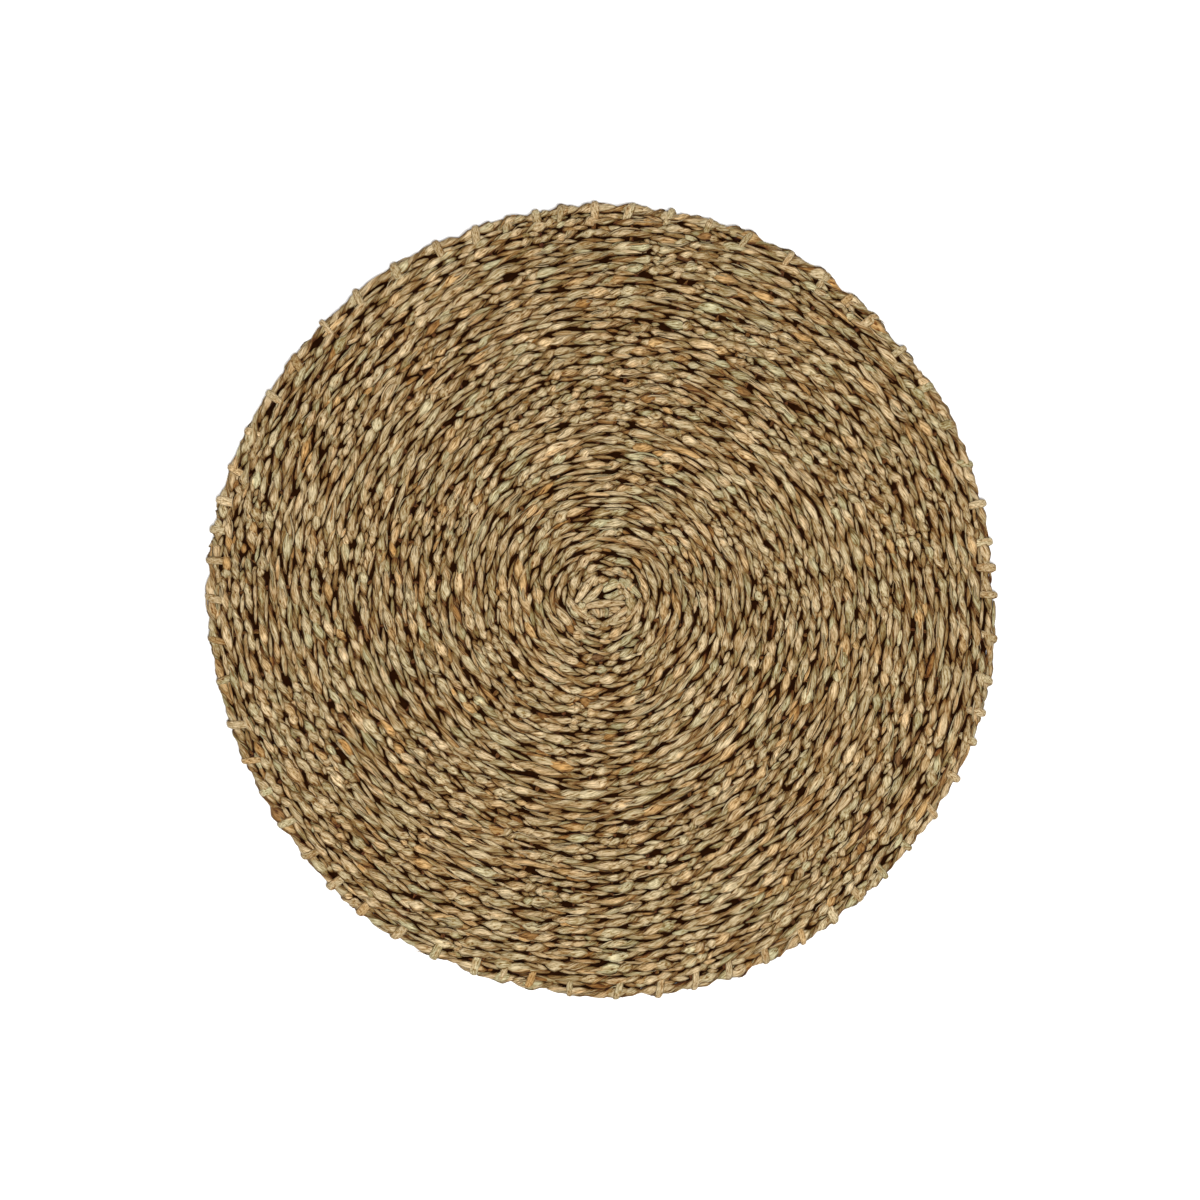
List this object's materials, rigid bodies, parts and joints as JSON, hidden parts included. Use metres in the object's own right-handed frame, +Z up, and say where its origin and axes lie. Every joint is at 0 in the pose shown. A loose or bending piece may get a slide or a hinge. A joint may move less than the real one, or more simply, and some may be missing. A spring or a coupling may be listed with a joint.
{
  "type": "round seagrass placemat",
  "caption": "Round flat placemat twined in spiral rows from twisted seagrass over radial spokes, with the spoke ends looped over the rim. It lies flat on a table.",
  "frame": {"origin": "on the table surface, under the middle of the mat's outline", "axes": "+Z up, out of the upper face; +X and +Y in the plane of the mat, with no front"},
  "size_m": [0.3794, 0.382, 0.007],
  "materials": {
    "seagrass": "dry matte twisted seagrass, tan with green, straw and rust strands"
  },
  "bodies": {
    "root": {"woven_mat": "seagrass"}
  },
  "joints": []
}
